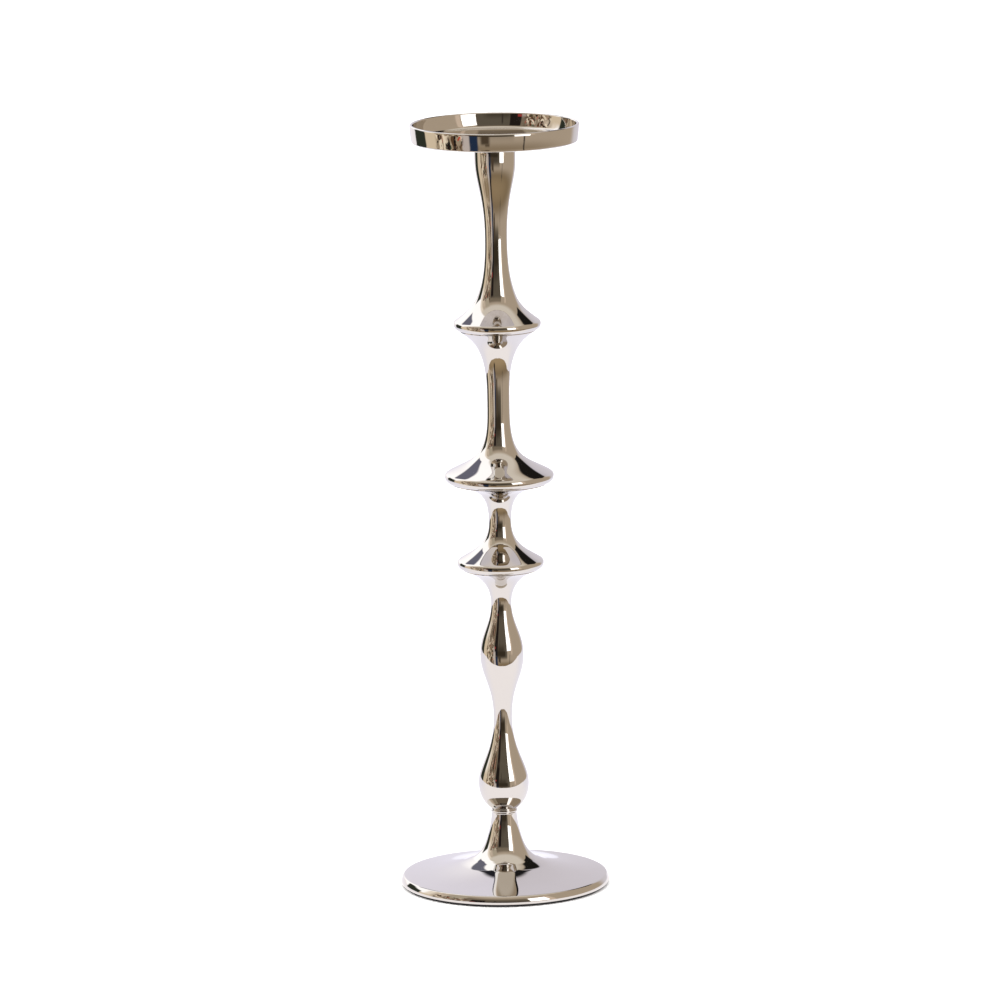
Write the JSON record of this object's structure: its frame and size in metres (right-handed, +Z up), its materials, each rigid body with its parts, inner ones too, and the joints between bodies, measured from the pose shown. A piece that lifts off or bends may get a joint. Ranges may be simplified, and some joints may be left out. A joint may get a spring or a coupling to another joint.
{
  "type": "candlestick",
  "caption": "Tall turned candlestick with a round foot, a slender waisted stem with flared flanges and a shallow round dish for a pillar candle, in polished silver metal.",
  "frame": {"origin": "on the axis, in the plane that the felt pad stands on", "axes": "+Z up along the candlestick's axis of revolution"},
  "size_m": [0.15, 0.15, 0.552],
  "materials": {
    "polished_nickel": "cast aluminium, nickel plated and polished to a mirror, slightly warm silver",
    "fastener_steel": "zinc plated steel",
    "felt": "black pressed felt"
  },
  "bodies": {
    "root": {"felt_pad": "felt", "foot": "polished_nickel", "foot_bolt": "fastener_steel", "spring_washer": "fastener_steel", "flat_washer": "fastener_steel", "baluster": "polished_nickel", "lower_stud": "fastener_steel", "lower_spool": "polished_nickel", "middle_stud": "fastener_steel", "middle_spool": "polished_nickel", "upper_stud": "fastener_steel", "top_stem": "polished_nickel", "candle_dish": "polished_nickel", "dish_screw": "fastener_steel"}
  },
  "joints": []
}
